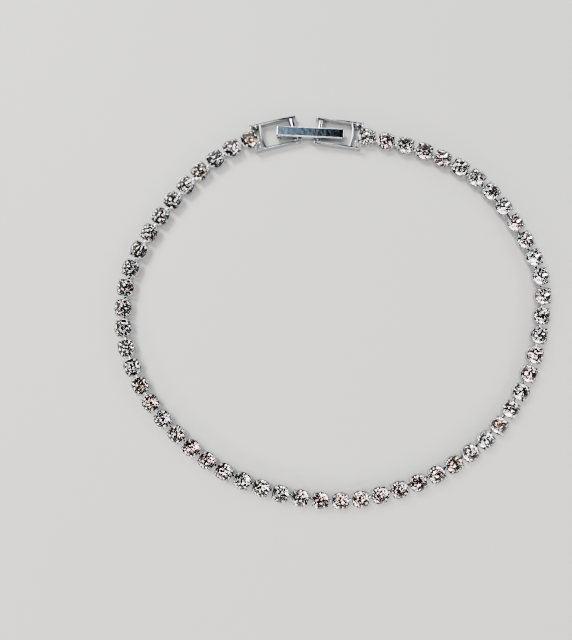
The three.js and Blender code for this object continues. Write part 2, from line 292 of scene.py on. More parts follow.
def turned_bar(half, sides):
    """Half a profile of radius and height, mirrored at its middle and then turned
    about Y: (r cos t, height, r sin t)."""
    half = np.asarray(half, float)
    profile = np.concatenate([(half * (1, -1))[:0:-1], half])
    turns = np.arange(sides) * FULL_TURN / sides
    radius, height = profile[:, :1], profile[:, 1:]
    return skin(np.stack([radius * np.cos(turns), height + 0 * turns, radius * np.sin(turns)], -1))


def bezier(corners, count):
    """A cubic curve: the sum of its four corners, weighed by the cubic's terms."""
    t = np.linspace(0, 1, count)[:, None]
    a, b, c, d = (np.asarray(corner, float) for corner in corners)
    return (1 - t) ** 3 * a + 3 * t * (1 - t) ** 2 * b + 3 * t * t * (1 - t) * c + t ** 3 * d


def arc(centre, radius, start, end, count):
    """Points on a circle in X and Z from one angle in degrees to another."""
    turns = np.radians(np.linspace(start, end, count))
    return np.stack([centre[0] + radius * np.cos(turns), 0 * turns,
                     centre[1] + radius * np.sin(turns)], -1)


def route_point(share):
    """A point of the route: a cubic through each pair of named points, whose slopes
    come from the square roots of the distances between its neighbours."""
    chain = bpy.context.scene.bracelet_chain
    points = CHAIN_ROUTE * (chain.loop_width, chain.loop_depth)
    points = np.concatenate([[2 * points[0] - points[1]], points, [2 * points[-1] - points[-2]]])
    spans = len(CHAIN_ROUTE) - 1
    place = np.clip(np.asarray(share) * spans, 0, spans)
    start = np.minimum(place.astype(int), spans - 1)
    t = (place - start)[:, None]
    before, here, after, beyond = (points[start + k] for k in range(4))
    gaps = np.linalg.norm(np.diff(points, axis=0), axis=1) ** 0.5
    gap_before, gap, gap_after = (gaps[start + k][:, None] for k in range(3))
    slope_in = gap * ((here - before) / gap_before - (after - before) / (gap_before + gap)
                      + (after - here) / gap)
    slope_out = gap * ((after - here) / gap - (beyond - here) / (gap + gap_after)
                       + (beyond - after) / gap_after)
    square, cube = t * t, t * t * t
    return (here + slope_in * t + (3 * (after - here) - 2 * slope_in - slope_out) * square
            + (2 * (here - after) + slope_in + slope_out) * cube)


def chain_places():
    """The cups' centres, evenly spaced along the route, and the chain's direction
    at each, from the centre before to the one after."""
    shares = np.linspace(0, 1, ROUTE_STEPS + 1)
    run = np.linalg.norm(np.diff(route_point(shares), axis=0), axis=1)
    lengths = np.concatenate([[0], np.cumsum(run)])
    gaps = round(lengths[-1] / bpy.context.scene.bracelet_chain.pitch)
    centres = route_point(np.interp(np.linspace(0, lengths[-1], gaps + 1), lengths, shares))
    rows = np.arange(gaps + 1)
    step = centres[np.minimum(rows + 1, gaps)] - centres[np.maximum(rows - 1, 0)]
    places = np.column_stack([centres, np.zeros(gaps + 1)])
    return places, np.arctan2(step[:, 1], step[:, 0])


def ring(sides, radius, height, turn=0.0):
    """Points evenly round Z: (r cos t, r sin t, height)."""
    turns = turn + np.arange(sides) * FULL_TURN / sides
    return np.stack([radius * np.cos(turns), radius * np.sin(turns), height + 0 * turns], -1)


def brilliant():
    """A brilliant with its foil. Table, stars, kites and halves over the girdle;
    below it mains and lower halves that meet in the point. Star points lie on the
    kites' planes, and the lower points on the mains' planes."""
    chain = bpy.context.scene.bracelet_chain
    half_step = np.pi / 8
    girdle, table = chain.girdle_radius, chain.table_radius
    slope = chain.crown_height / (girdle - table)
    star_drop = slope * (chain.star_radius * math.cos(half_step) - table)
    top = chain.cup_height + chain.crown_height
    low = chain.cup_height - chain.girdle_depth
    point = low - chain.pavilion_depth
    lower_share = 0.3
    lower_radius = lower_share * girdle
    lower_rise = chain.pavilion_depth * lower_radius * math.cos(half_step) / girdle
    points = np.concatenate([
        ring(8, table, top),
        ring(8, chain.star_radius, top - star_drop, half_step),
        ring(16, girdle, chain.cup_height),
        ring(16, girdle, low),
        ring(8, lower_radius, point + lower_rise, half_step),
        [(0, 0, top), (0, 0, point)],
    ])
    k, m = np.arange(8), np.arange(16)
    after, before = (k + 1) % 8, (k - 1) % 8
    even, odd, next_even = 2 * k, 2 * k + 1, (2 * k + 2) % 16
    table_at, star_at, girdle_at, low_at, lower_at, middle, culet = 0, 8, 16, 32, 48, 56, 57
    crown = np.concatenate([
        faces_of(middle, table_at + k, table_at + after),
        faces_of(table_at + k, star_at + k, table_at + after),
        faces_of(table_at + k, star_at + before, girdle_at + even, star_at + k),
        faces_of(star_at + k, girdle_at + even, girdle_at + odd),
        faces_of(star_at + k, girdle_at + odd, girdle_at + next_even),
        faces_of(girdle_at + m, low_at + m, low_at + (m + 1) % 16, girdle_at + (m + 1) % 16),
    ])
    foil = np.concatenate([
        faces_of(culet, lower_at + k, low_at + even, lower_at + before),
        faces_of(lower_at + k, low_at + odd, low_at + even),
        faces_of(lower_at + k, low_at + next_even, low_at + odd),
    ])
    finish = np.repeat([0, 1], [len(crown), len(foil)])
    return Shape(points, np.concatenate([crown, foil]), finish)


def claw_turns():
    """The angles of a cup's four claws from the chain's direction."""
    claw = bpy.context.scene.bracelet_chain.claw_turn
    return np.array([claw, np.pi - claw, np.pi + claw, -claw])


def cup_wall():
    """A cup of sheet metal: radius = base + (rim - base) * h, plus the corners'
    bulge * h * h, for a height h that rises to 1. A corner is a bell curve of the
    angle about a claw; the rim dips between the corners. A slot on each side lets
    a link in."""
    chain = bpy.context.scene.bracelet_chain
    sides, corner_spread, slot_spread = 72, math.radians(24), math.radians(15)
    sheet, play, fillet, middle = chain.sheet, 0.04 * MM, 0.14 * MM, 0.05 * MM
    floor_inset, floor_height = 1.4 * sheet, 1.3 * sheet
    turns = np.arange(sides) * FULL_TURN / sides
    away = np.angle(np.exp(1j * (turns[:, None] - claw_turns())))
    corner = np.exp(-(away / corner_spread) ** 2).max(1)
    bulge = (chain.corner_radius - chain.rim_radius) * corner
    rim = chain.cup_height - chain.rim_dip * (1 - corner)
    slot_low = chain.link_height - play
    slot_high = chain.link_height + chain.link_thickness + play

    def radius_at(height):
        share = height / chain.cup_height
        return chain.base_radius + (chain.rim_radius - chain.base_radius) * share + bulge * share ** 2

    def upright(radius, height):
        return np.stack([radius * np.cos(turns), radius * np.sin(turns), height + 0 * turns], -1)

    foot = chain.base_radius + 0.03 * MM
    outer = [upright(middle, 0), upright(chain.base_radius - 2 * fillet, 0)]
    outer += [upright(foot - fillet * (1 - math.cos(bend)), fillet * (1 + math.sin(bend)))
              for bend in np.radians([-90, -60, -30, 0])]
    levels = [slot_low, slot_high, 0.85 * MM, 1.0 * MM]
    wall = [upright(radius_at(level), level) for level in levels]
    fold = sheet / 2
    lip = [upright(radius_at(rim - fold) - fold * (1 - math.cos(bend)), rim - fold * (1 - math.sin(bend)))
           for bend in np.radians([0, 45, 90, 135, 180])]
    inside = [upright(radius_at(level) - sheet, level) for level in reversed(levels)]
    floor = [upright(chain.base_radius - floor_inset, floor_height), upright(middle, sheet)]
    shape = skin(np.stack(outer + wall + lip + inside + floor))
    low_ring = len(outer)
    high_ring = low_ring + len(wall) + len(lip) + len(levels) - 2
    low_out, high_out, high_in, low_in = np.array([low_ring, low_ring + 1, high_ring, high_ring + 1]) * sides
    near = np.abs(np.angle(np.exp(2j * (turns + FULL_TURN / sides / 2)))) / 2 < slot_spread
    here = np.flatnonzero(near)
    beside = (here + 1) % sides
    ends = np.concatenate([here[~near[here - 1]], beside[~near[beside]]])
    faces = np.delete(shape.faces, np.concatenate([low_out + here, high_in + here]), axis=0)
    rims = [
        faces_of(low_out + here, low_out + beside, low_in + beside, low_in + here),
        faces_of(high_out + here, high_out + beside, high_in + beside, high_in + here),
        faces_of(low_out + ends, high_out + ends, high_in + ends, low_in + ends),
    ]
    return Shape(shape.points, np.concatenate([faces, *rims]))


def cup_claws():
    """Four claws: a tapering bar along a curve that climbs the cup's corner and
    bends in over the stone's edge, turned to each corner. Its numbers are in
    millimetres."""
    curve = bezier([(1.235, 0, 0.45), (1.48, 0, 1.22), (1.43, 0, 1.68), (0.965, 0, 1.53)], 7) * MM
    t = np.linspace(0, 1, len(curve))[:, None]
    width, depth = 0.46 - 0.04 * t - 0.3 * t ** 3, 0.15 - 0.07 * t ** 2
    edge, soft_end = 0.06 * MM, 0.03 * MM
    claw = bar(curve, (0, 1, 0), np.concatenate([width, depth], 1) * MM, edge, soft_end, 2, 1)
    return repeated(claw, about_z(claw_turns()), np.zeros((4, 3)))


def links(places, first, last):
    """Flat bars with rounded edges from each cup's inside to the next one's."""
    chain = bpy.context.scene.bracelet_chain
    height = chain.link_height + chain.link_thickness / 2
    inside, edge, soft_end = 0.84 * MM, 0.07 * MM, 0.05 * MM
    shapes = []
    for start, end in zip(places[first:last], places[first + 1:last + 1]):
        run = (end - start) / np.linalg.norm(end - start)
        path = np.linspace(start + inside * run, end - inside * run, 3) + (0, 0, height)
        across = np.array([-run[1], run[0], 0])
        shapes.append(bar(path, across, (chain.link_width, chain.link_thickness), edge, soft_end))
    return joined(shapes)


def rail_outline():
    """A rail's outline in X and Z: a rectangle with rounded corners."""
    clasp = bpy.context.scene.bracelet_clasp
    low, high = -clasp.frame_tail, clasp.pin_reach + clasp.rail_tip
    corner, corner_points = 0.22 * MM, 6
    rings = rounded_rings([(high - low, clasp.rail_height)], corner, corner_points)
    return rings[0] + ((low + high) / 2, clasp.rail_height / 2)


def clasp_frame():
    """One clasp frame about its end wall's middle, its pin towards +X: two rails,
    a wall bowed along (1 - t)^2 a + 2 t (1 - t) b + t^2 c, two low lips and four
    claws that bend in over the end cup."""
    clasp = bpy.context.scene.bracelet_clasp
    outer = clasp.frame_width / 2
    middle = outer - clasp.rail_thickness / 2
    bevel, wall_edge, claw_edge = 0.08 * MM, 0.1 * MM, 0.09 * MM
    wall_soft, lip_soft, claw_soft = 0.03 * MM, 0.04 * MM, 0.05 * MM
    lip_reach, lip_height, lip_root = 0.4 * MM, 0.4 * MM, 0.12 * MM
    rail = plate(rail_outline(), clasp.rail_thickness, bevel)
    shapes = [rail.moved(place=(0, side * middle, 0)) for side in (-1, 1)]
    bow = clasp.wall_bow
    t = np.linspace(0, 1, 17)[:, None]
    ends = np.array([(bow, -middle), (-bow, 0), (bow, middle)])
    curve = (1 - t) ** 2 * ends[0] + 2 * t * (1 - t) * ends[1] + t * t * ends[2]
    wall = np.column_stack([curve, np.full(len(t), clasp.rail_height / 2)])
    shapes.append(bar(wall, (0, 0, 1), (clasp.rail_height, clasp.rail_thickness), wall_edge, wall_soft))
    lip = np.linspace((-clasp.frame_tail, 0, 0), (-clasp.rail_thickness / 2, 0, 0), 3)
    lip_at = outer - clasp.rail_thickness - lip_reach / 2 + lip_root / 2
    tip = clasp.claw_tip / MM
    curve = bezier([(0, 1.79, 0.85), (0, 1.86, 1.68), (0, 1.72, 1.84), (0, tip, 1.79)], 12) * MM
    s = np.linspace(0, 1, len(curve))[:, None]
    width, depth = 0.4 - 0.2 * s ** 2, 0.24 - 0.06 * s
    claw = bar(curve, (1, 0, 0), np.concatenate([width, depth], 1) * MM, claw_edge, claw_soft)
    for side in (-1, 1):
        shapes.append(bar(lip + (0, side * lip_at, lip_height / 2), (0, 1, 0),
                          (lip_reach + lip_root, lip_height), bevel, lip_soft))
        for along in (0, clasp.claw_spacing):
            at = along - clasp.frame_tail + clasp.claw_width / 2
            shapes.append(claw.moved(np.diag([1, side, 1]), (at, 0, 0)))
    return joined(shapes)


def cross_pin():
    """A rivet along Y: radius against height along a bar with rounded shoulders,
    narrow necks in the rails and domed heads."""
    clasp = bpy.context.scene.bracelet_clasp
    play, proud, neck, tip = 0.06 * MM, 0.02 * MM, 0.25 * MM, 0.02 * MM
    shoulder, rim, dome = 0.08 * MM, 0.03 * MM, 0.17 * MM
    inner = clasp.frame_width / 2 - clasp.rail_thickness - play
    outside = clasp.frame_width / 2 + proud
    bar_radius, head = clasp.pin_radius, clasp.pin_head
    bends = np.radians([0, 30, 60, 90])
    half = [(bar_radius, 0)]
    half += [(bar_radius - shoulder * (1 - math.cos(bend)), inner - shoulder * (1 - math.sin(bend)))
             for bend in bends]
    half += [(neck, inner), (neck, outside), (head - rim, outside), (head, outside + rim)]
    half += [(head * math.cos(bend), outside + rim + dome * math.sin(bend)) for bend in bends[1:-1]]
    half += [(tip, outside + rim + dome)]
    return turned_bar(half, 40)


def hinge_pin():
    """The knuckle's pin along Y, with a small domed head at each end."""
    clasp = bpy.context.scene.bracelet_clasp
    proud = 0.04 * MM
    end = clasp.lid_width / 2 + proud
    dome = np.array([(0.27, 0), (0.3, 0.03), (0.27, 0.08), (0.16, 0.12), (0.02, 0.13)]) * MM
    half = np.concatenate([[(clasp.hinge_pin, 0), (clasp.hinge_pin, end)], dome + (0, end)])
    return turned_bar(half, 32)


def frame_places():
    """Each clasp frame's place and turn: its end cup's centre plus a distance along
    the frame's direction; and its pin's place, the pin's reach further on."""
    clasp = bpy.context.scene.bracelet_clasp
    places = chain_places()[0]
    result = []
    for cup, turn, distance in ((places[0], clasp.left_turn, clasp.left_distance),
                                (places[-1], clasp.right_turn, clasp.right_distance)):
        run = np.array([math.cos(turn), math.sin(turn), 0])
        wall = cup + distance * run
        result.append((wall, turn, wall + clasp.pin_reach * run + (0, 0, clasp.pin_height)))
    return result


def hinge_frame():
    """The lid's own axes: its origin on the hinge, X along the lid, Y along the pin."""
    axis = HINGE["axis"]
    turn = math.atan2(axis[0], -axis[1])
    return np.array(HINGE["pos_m"]), turn


def pin_crossings():
    """Where the two pins cross the lid's middle line, measured from the hinge, and
    how much they slant to it."""
    origin, turn = hinge_frame()
    result = []
    for _, frame_turn, pin in frame_places():
        local = about_z(-turn) @ (pin - origin)
        slant = frame_turn - turn
        result.append((local[0] + local[1] * math.tan(slant), math.tan(slant)))
    return result


def inner_leaf():
    """The rolled leaf in the lid's own frame: a flat strip carried along a line that
    rolls round the hinge pin, runs low under the left pin and rolls round the right
    pin. Its numbers are in millimetres."""
    clasp = bpy.context.scene.bracelet_clasp
    right = pin_crossings()[1][0] / MM
    hinge, pin = HINGE["pos_m"][2] / MM, clasp.pin_height / MM
    low, roll = 0.1, 0.31
    path = np.concatenate([
        arc((0, hinge), roll, -50, 180, 22),
        bezier([(-roll, 0, hinge - 0.06), (-roll, 0, 0.3), (-0.2, 0, low), (0.25, 0, low)], 9),
        np.linspace((0.5, 0, low), (right - 0.3, 0, low), 8),
        arc((right, pin), pin - low, -90, 215, 30),
    ]) * MM
    edge, soft_end = 0.05 * MM, 0.03 * MM
    strip = bar(path, (0, 1, 0), (clasp.leaf_width, clasp.leaf_thickness), edge, soft_end)
    return strip.moved(place=(0, 0, -HINGE["pos_m"][2]))


def notch_edge(x, centre):
    """The lower edge of a flange over a pin: the highest point of the discs that the
    pin sweeps as the lid lifts, or the flange's own edge where no disc comes."""
    clasp = bpy.context.scene.bracelet_clasp
    hinge = HINGE["pos_m"][2]
    clearance, most_lift, steps = 0.1 * MM, math.radians(22), 30
    reach = clasp.pin_radius + clearance
    left = pin_crossings()[0][0]
    lift = np.linspace(0, most_lift * min(1, left / centre), steps)
    rise = clasp.pin_height - hinge
    across = centre * np.cos(lift) + rise * np.sin(lift)
    up = hinge + rise * np.cos(lift) - centre * np.sin(lift)
    away = x[:, None] - across
    covered = np.abs(away) < reach
    top = up + np.sqrt(np.where(covered, reach ** 2 - away ** 2, 0))
    return np.where(covered, top, clasp.lid_bottom).max(1)


def fall(radius, past):
    """How far a quarter circle has fallen: radius - sqrt(radius^2 - past^2)."""
    past = np.clip(past, 0, radius)
    return radius - np.sqrt(np.maximum(radius ** 2 - past ** 2, 0))


def lid():
    """The lid in its own frame: a section like an upturned channel carried along X.
    Its half width, top, inside and lower edges are each a function of X, so that
    corners, edges, notches and the closed far end come from those functions."""
    clasp = bpy.context.scene.bracelet_clasp
    (left_pin, left_slant), (right_pin, right_slant) = pin_crossings()
    hinge = HINGE["pos_m"][2]
    half, knuckle = clasp.lid_width / 2, clasp.knuckle
    start, end = -knuckle, right_pin + clasp.lid_reach
    corner, edge, far_edge = 0.35 * MM, 0.17 * MM, 0.26 * MM
    near_round, far_round, round_in = 0.17 * MM, 0.1 * MM, 0.05 * MM
    # Sections lie closer at both ends, and the flat top starts just past the rounding
    rows, ease_share, flat_start = 270, 0.2, 1.15
    ease = (1 - np.cos(np.linspace(0, np.pi, rows))) / 2
    even = np.linspace(0, 1, rows)
    x = start + (end - start) * ((1 - ease_share) * even + ease_share * ease)
    width = half - fall(corner, x - end + corner)
    top = clasp.lid_top - fall(edge, start + edge - x) - fall(far_edge, x - end + far_edge)
    roll = np.sqrt(np.maximum(knuckle ** 2 - np.minimum(x, 0) ** 2, 0))
    slope = (clasp.lid_bottom - hinge + knuckle) * np.clip(x / knuckle, 0, 1)
    ear = np.minimum(np.where(x < 0, hinge - roll, hinge - knuckle + slope), clasp.lid_bottom)
    hollow = x < end - corner
    inside = np.where(hollow, clasp.lid_top - clasp.lid_wall, 0)
    inner_width = width - clasp.lid_wall
    bends = np.radians(np.linspace(0, 90, 5))
    outer, inner, lower = [], [], []
    for side, round_out in ((-1, near_round), (1, far_round)):
        notches = np.maximum(notch_edge(x, left_pin - side * half * left_slant),
                             notch_edge(x, right_pin - side * half * right_slant))
        notches = np.where(notches > clasp.lid_bottom, notches, 0)
        low = np.maximum(ear, notches) + fall(edge, x - end + edge)
        high = np.maximum(inside, low)
        fillet = round_in * hollow
        lower.append(low)
        outer.append([
            (side * width, low), (side * width, (low + top) / 2),
            *[(side * (width - round_out * (1 - math.cos(bend))), top - round_out * (1 - math.sin(bend)))
              for bend in bends],
            (side * (width - flat_start * round_out), top)])
        inner.append([
            (side * inner_width, low), (side * inner_width, (low + high - fillet) / 2),
            *[(side * (inner_width - round_in * (1 - math.cos(bend))), high - fillet * (1 - math.sin(bend)))
              for bend in bends],
            (side * inner_width / 2, high)])
    loop = outer[0] + [(0 * x, top)] + outer[1][::-1]
    lining = inner[0] + [(0 * x, np.maximum(inside, np.maximum(*lower)))] + inner[1][::-1]
    rings = np.stack([np.stack([x, y, z], -1) for y, z in loop + lining[::-1]], 1)
    around = rings.shape[1]
    faces = skin(rings, False).faces
    k = np.arange(len(loop) - 1)
    ends = [faces_of(row + k, row + k + 1, row + around - 2 - k, row + around - 1 - k)
            for row in (0, (rows - 1) * around)]
    return Shape(rings, np.concatenate([faces, *ends])).moved(place=(0, 0, -hinge))


def add(tree, kind, values=None, links=None, **settings):
    """Adds a node: settings are its own options, values its sockets' numbers and
    links the outputs that feed its sockets."""
    node = tree.nodes.new(kind)
    for key, value in settings.items():
        setattr(node, key, value)
    for key, value in (values or {}).items():
        node.inputs[key].default_value = value
    for key, source in (links or {}).items():
        tree.links.new(source, node.inputs[key])
    return node


def metal(tree, patches, light, gloss, bump):
    """A metal whose tone runs from the plating's shade to a light tone by patches."""
    shade = bpy.context.scene.bracelet_finish.plating_shade
    tone = add(tree, "ShaderNodeMix", {"A": (*shade, 1), "B": (*light, 1)},
               {"Factor": patches.outputs["Fac"]}, data_type="RGBA")
    return add(tree, "ShaderNodeBsdfPrincipled", {"Metallic": 1.0},
               {"Base Color": tone.outputs["Result"], "Roughness": gloss.outputs["Result"],
                "Normal": bump.outputs["Normal"]})


def plated_brass(tree):
    """Stamped brass with a bright rhodium plating, tumbled after stamping: a hard
    silver gloss that is a little duller and greyer in fine random patches."""
    finish = bpy.context.scene.bracelet_finish
    where = add(tree, "ShaderNodeTexCoord").outputs["Object"]
    patches = add(tree, "ShaderNodeTexNoise", {"Scale": 1 / (0.5 * MM), "Detail": 3.0}, {"Vector": where})
    gloss = add(tree, "ShaderNodeMapRange", {"To Min": 0.06, "To Max": 0.17},
                {"Value": patches.outputs["Fac"]})
    # Tumbling marks are about 0.02 mm; they are drawn at 0.08 mm to show
    marks = add(tree, "ShaderNodeTexNoise", {"Scale": 1 / (0.08 * MM), "Detail": 2.0}, {"Vector": where})
    bump = add(tree, "ShaderNodeBump", {"Strength": 0.07, "Distance": 0.01 * MM},
               {"Height": marks.outputs["Fac"]})
    return metal(tree, patches, finish.plating, gloss, bump)


def polished_plate(tree):
    """Silver-plated brass polished on a wheel: a near mirror with fine scratches
    along its length and a slightly uneven face."""
    finish = bpy.context.scene.bracelet_finish
    where = add(tree, "ShaderNodeTexCoord").outputs["Object"]
    turned = add(tree, "ShaderNodeMapping", {"Scale": (0.12, 1.0, 1.0)}, {"Vector": where})
    # Polishing scratches are a few hundredths of a millimetre; drawn at 0.1 mm
    scratches = add(tree, "ShaderNodeTexNoise", {"Scale": 1 / (0.1 * MM), "Detail": 3.0},
                    {"Vector": turned.outputs["Vector"]})
    mottle = add(tree, "ShaderNodeTexNoise", {"Scale": 1 / (0.55 * MM), "Detail": 3.0, "Roughness": 0.5},
                 {"Vector": where})
    gloss = add(tree, "ShaderNodeMapRange", {"To Min": 0.02, "To Max": 0.1},
                {"Value": scratches.outputs["Fac"]})
    uneven = add(tree, "ShaderNodeBump", {"Strength": 1.0, "Distance": 0.025 * MM},
                 {"Height": mottle.outputs["Fac"]})
    bump = add(tree, "ShaderNodeBump", {"Strength": 0.1, "Distance": 0.005 * MM},
               {"Height": scratches.outputs["Fac"], "Normal": uneven.outputs["Normal"]})
    return metal(tree, mottle, finish.polish, gloss, bump)


def cut_glass(tree):
    """Lead glass, ground and polished in flat facets: clear and bright, with its
    tone in the glass itself."""
    tint = add(tree, "ShaderNodeAttribute", attribute_name="tint")
    return add(tree, "ShaderNodeBsdfPrincipled",
               {"Metallic": 0.0, "Roughness": 0.0, "IOR": 1.57, "Transmission Weight": 1.0},
               {"Base Color": tint.outputs["Color"]})


def silver_foil(tree):
    """Silver mirror coat on the back of the glass: bright, with a warm blush in random patches near the
    stones' points, most of all in the chain's middle."""
    finish = bpy.context.scene.bracelet_finish
    where = add(tree, "ShaderNodeTexCoord").outputs["Object"]
    place = add(tree, "ShaderNodeSeparateXYZ", links={"Vector": where})
    thin = add(tree, "ShaderNodeTexNoise", {"Scale": 1 / (2.0 * MM), "Detail": 1.0}, {"Vector": where})
    batch = add(tree, "ShaderNodeMapRange",
                {"From Min": -8 * MM, "From Max": -27 * MM, "To Min": 0.02, "To Max": 0.06},
                {"Value": place.outputs["Y"]})
    share = add(tree, "ShaderNodeMath", links={0: thin.outputs["Fac"], 1: batch.outputs["Result"]},
                operation="ADD")
    patch = add(tree, "ShaderNodeMapRange", {"From Min": 0.48, "From Max": 0.66},
                {"Value": share.outputs["Value"]})
    point = add(tree, "ShaderNodeMapRange", {"From Min": 1.05 * MM, "From Max": 0.7 * MM},
                {"Value": place.outputs["Z"]})
    blush = add(tree, "ShaderNodeMath", links={0: patch.outputs["Result"], 1: point.outputs["Result"]},
                operation="MULTIPLY")
    tone = add(tree, "ShaderNodeMix", {"A": (*finish.foil, 1), "B": (*finish.foil_blush, 1)},
               {"Factor": blush.outputs["Value"]}, data_type="RGBA")
    return add(tree, "ShaderNodeBsdfPrincipled", {"Metallic": 1.0, "Roughness": 0.04},
               {"Base Color": tone.outputs["Result"]})


def pale_board(tree):
    """Matt painted board for the floor: an even pale tone with a faint grain."""
    finish = bpy.context.scene.bracelet_finish
    where = add(tree, "ShaderNodeTexCoord").outputs["Object"]
    grain = add(tree, "ShaderNodeTexNoise", {"Scale": 1 / (1.5 * MM), "Detail": 3.0}, {"Vector": where})
    gloss = add(tree, "ShaderNodeMapRange", {"To Min": 0.6, "To Max": 0.75}, {"Value": grain.outputs["Fac"]})
    return add(tree, "ShaderNodeBsdfPrincipled", {"Base Color": (*finish.floor, 1)},
               {"Roughness": gloss.outputs["Result"]})


def finish_of(maker):
    """The material that bears a maker's name, made once: the maker fills its tree
    and gives back the shader that goes to the output."""
    material = bpy.data.materials.get(maker.__name__)
    if not material:
        material = bpy.data.materials.new(maker.__name__)
        material.use_nodes = True
        tree = material.node_tree
        tree.nodes.clear()
        shader = maker(tree)
        add(tree, "ShaderNodeOutputMaterial", links={"Surface": shader.outputs["BSDF"]})
    return material


def make_object(name, shape, makers, smooth):
    """A mesh object from a shape, with its faces turned outwards and its edges sharp
    where they bend by more than the smooth angle in degrees, or flat at 0."""
    quads = shape.faces[:, 3] >= 0
    order = np.concatenate([np.flatnonzero(quads), np.flatnonzero(~quads)])
    shortest_edge = 0.0005 * MM
    mesh = bpy.data.meshes.new(name)
    mesh.from_pydata(shape.points.tolist(), [],
                     shape.faces[quads].tolist() + shape.faces[~quads][:, :3].tolist())
    mesh.polygons.foreach_set("material_index", shape.finish[order].astype(np.int32))
    for maker in makers:
        mesh.materials.append(finish_of(maker))
    build = bmesh.new()
    build.from_mesh(mesh)
    bmesh.ops.dissolve_degenerate(build, edges=build.edges, dist=shortest_edge)
    bmesh.ops.recalc_face_normals(build, faces=build.faces)
    build.to_mesh(mesh)
    build.free()
    if smooth:
        mesh.shade_smooth()
        mesh.set_sharp_from_angle(angle=math.radians(smooth))
    piece = bpy.data.objects.new(name, mesh)
    bpy.context.scene.collection.objects.link(piece)
    return piece


def dress(piece, body, slot, *nodes):
    """Ties a piece to its body and hides the nodes that it stands for. The slot is not used."""
    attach(piece, body)
    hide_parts(*nodes)


def plated_piece(name, shape, node, smooth=40):
    """A piece of plated brass on the bracelet's own body."""
    dress(make_object(name, shape, (plated_brass,), smooth), "bracelet", "plated_metal", node)


def stretches():
    """The two stretches of chain, each as its name and its first and last cup."""
    count = len(chain_places()[0])
    middle = (count - 1) // 2
    return (("left", 0, middle), ("right", middle + 1, count - 1))


class BRACELET_OT_stones(bpy.types.Operator):
    """Sets a foil-backed brilliant in each cup"""

    bl_idname = "bracelet.stones"
    bl_label = "Stones"

    def execute(self, context):
        """Each stone is turned by up to half a facet's step and tipped a little by its
        own draw, as set stones are."""
        finish = context.scene.bracelet_finish
        seed, most_spin, usual_tip = 7, 0.39, 0.022
        places, turns = chain_places()
        draw = np.random.default_rng(seed)
        spins = draw.uniform(-most_spin, most_spin, len(places))
        tips = draw.normal(0, usual_tip, (len(places), 2))
        stone = brilliant()
        seat = context.scene.bracelet_chain.cup_height
        flat = stone.moved(place=(0, 0, -seat))
        tip = np.tile(np.eye(3), (len(places), 1, 1))
        tip[:, :2, 2], tip[:, 2, :2] = tips, -tips
        rotations = tip @ about_z(turns + spins)
        for name, first, last in stretches():
            rows = slice(first, last + 1)
            shape = repeated(flat, rotations[rows], places[rows] + (0, 0, seat))
            piece = make_object(f"set_stones_{name}", shape, (cut_glass, silver_foil), 0)
            tints = np.tile((*finish.glass, 1.0), (last - first + 1, 1))
            if first == 0:
                tints[0, :3] = finish.glass_warm
            tint = piece.data.attributes.new("tint", "FLOAT_COLOR", "POINT")
            tint.data.foreach_set("color", np.repeat(tints, len(stone.points), 0).ravel())
            dress(piece, "bracelet", "set_stones", f"stone_chain_{name}")
        return {"FINISHED"}


class BRACELET_OT_cups(bpy.types.Operator):
    """Makes the claw cups that hold the stones"""

    bl_idname = "bracelet.cups"
    bl_label = "Cups"

    def execute(self, context):
        """One cup with its claws, repeated along the chain."""
        places, turns = chain_places()
        cup = joined([cup_wall(), cup_claws()])
        for name, first, last in stretches():
            rows = slice(first, last + 1)
            shape = repeated(cup, about_z(turns[rows]), places[rows])
            plated_piece(f"claw_cups_{name}", shape, f"stone_chain_{name}", 50)
        return {"FINISHED"}


class BRACELET_OT_links(bpy.types.Operator):
    """Joins the cups with short flat links"""

    bl_idname = "bracelet.links"
    bl_label = "Links"

    def execute(self, context):
        """The left stretch keeps the link that meets the right one."""
        places, _ = chain_places()
        (_, _, middle), (_, first, last) = stretches()
        for name, start, end in (("left", 0, middle + 1), ("right", first, last)):
            plated_piece(f"flat_links_{name}", links(places, start, end), f"stone_chain_{name}", 35)
        return {"FINISHED"}


class BRACELET_OT_frames(bpy.types.Operator):
    """Makes the two clasp frames with their riveted pins"""

    bl_idname = "bracelet.frames"
    bl_label = "Clasp frames"

    def execute(self, context):
        """Each frame and pin is turned to its own place at a chain end."""
        for name, (wall, turn, pin) in zip(("left", "right"), frame_places()):
            body = clasp_frame().moved(about_z(turn), wall)
            plated_piece(f"bent_frame_{name}", body, f"clasp_frame_{name}")
            rivet = cross_pin().moved(about_z(turn), pin)
            plated_piece(f"riveted_pin_{name}", rivet, f"cross_pin_{name}")
        return {"FINISHED"}


class BRACELET_OT_leaf(bpy.types.Operator):
    """Makes the rolled inner leaf and the knuckle's pin"""

    bl_idname = "bracelet.leaf"
    bl_label = "Inner leaf"

    def execute(self, context):
        """Both lie in the lid's own frame."""
        origin, turn = hinge_frame()
        plated_piece("rolled_leaf", inner_leaf().moved(about_z(turn), origin), "clasp_tongue")
        plated_piece("knuckle_pin", hinge_pin().moved(about_z(turn), origin), "lid_hinge_pin")
        return {"FINISHED"}


class BRACELET_OT_lid(bpy.types.Operator):
    """Makes the polished lid that folds down over the pins"""

    bl_idname = "bracelet.lid"
    bl_label = "Lid"

    def execute(self, context):
        """The lid rides on its own body."""
        origin, turn = hinge_frame()
        cover = make_object("folding_lid", lid().moved(about_z(turn), origin), (polished_plate,), 40)
        dress(cover, "clasp_lid", "polished_metal", "clasp_lid")
        return {"FINISHED"}


